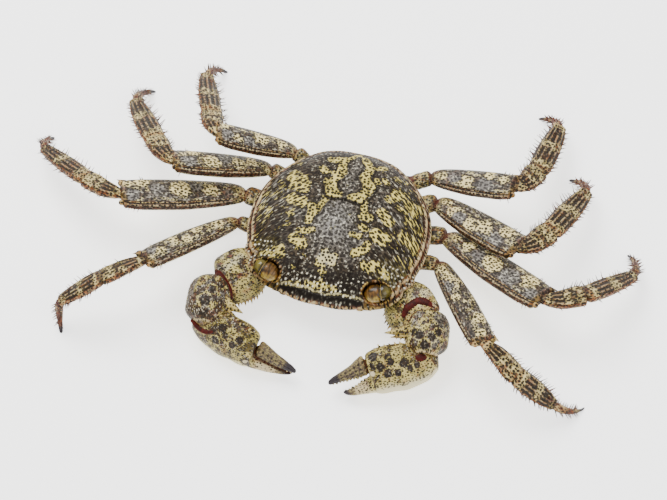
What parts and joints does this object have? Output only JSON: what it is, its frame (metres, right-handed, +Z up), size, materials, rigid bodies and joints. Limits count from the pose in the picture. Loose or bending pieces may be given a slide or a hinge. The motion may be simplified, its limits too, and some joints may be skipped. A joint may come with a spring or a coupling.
{
  "type": "shore crab",
  "caption": "A life-size still model of a mottled lightfoot shore crab, standing with both claws folded in front of its face and its legs spread out to the sides.",
  "frame": {"origin": "the middle of the footprint on the floor the crab stands on, under the middle of its leg span", "axes": "+X to the crab's own left, -Y the way it faces, +Z up from the floor"},
  "size_m": [0.1694, 0.0992, 0.0207],
  "materials": {
    "carapace_shell": "hard shell of the back, mottled charcoal and cream yellow, satin with fine bumps",
    "leg_shell": "hard leg shell banded in cream and grey brown, satin, with short stiff hairs",
    "claw_shell": "hard claw shell, cream with dark spots above and pale below, a low gloss",
    "underside_shell": "smooth pale belly plates, satin",
    "eye": "glossy golden brown eye and stalk"
  },
  "bodies": {
    "root": {"eye_right": "eye", "maxilliped_right": "underside_shell", "antenna_right": "leg_shell", "eye_left": "eye", "maxilliped_left": "underside_shell", "antenna_left": "leg_shell", "leg1_right_base": "leg_shell", "leg1_right_merus": "leg_shell", "leg1_right_carpus": "leg_shell", "leg1_right_propodus": "leg_shell", "leg1_right_dactyl": "leg_shell", "leg1_left_base": "leg_shell", "leg1_left_merus": "leg_shell", "leg1_left_carpus": "leg_shell", "leg1_left_propodus": "leg_shell", "leg1_left_dactyl": "leg_shell", "leg2_right_base": "leg_shell", "leg2_right_merus": "leg_shell", "leg2_right_carpus": "leg_shell", "leg2_right_propodus": "leg_shell", "leg2_right_dactyl": "leg_shell", "leg2_left_base": "leg_shell", "leg2_left_merus": "leg_shell", "leg2_left_carpus": "leg_shell", "leg2_left_propodus": "leg_shell", "leg2_left_dactyl": "leg_shell", "leg3_right_base": "leg_shell", "leg3_right_merus": "leg_shell", "leg3_right_carpus": "leg_shell", "leg3_right_propodus": "leg_shell", "leg3_right_dactyl": "leg_shell", "leg3_left_base": "leg_shell", "leg3_left_merus": "leg_shell", "leg3_left_carpus": "leg_shell", "leg3_left_propodus": "leg_shell", "leg3_left_dactyl": "leg_shell", "leg4_right_base": "leg_shell", "leg4_right_merus": "leg_shell", "leg4_right_carpus": "leg_shell", "leg4_right_propodus": "leg_shell", "leg4_right_dactyl": "leg_shell", "leg4_left_base": "leg_shell", "leg4_left_merus": "leg_shell", "leg4_left_carpus": "leg_shell", "leg4_left_propodus": "leg_shell", "leg4_left_dactyl": "leg_shell", "cheliped_right_base": "claw_shell", "cheliped_right_merus": "claw_shell", "cheliped_right_carpus": "claw_shell", "cheliped_right_palm": "claw_shell", "cheliped_right_finger": "claw_shell", "cheliped_left_base": "claw_shell", "cheliped_left_merus": "claw_shell", "cheliped_left_carpus": "claw_shell", "cheliped_left_palm": "claw_shell", "cheliped_left_finger": "claw_shell", "abdomen": "underside_shell", "sternum": "underside_shell", "carapace": "carapace_shell"}
  },
  "joints": []
}
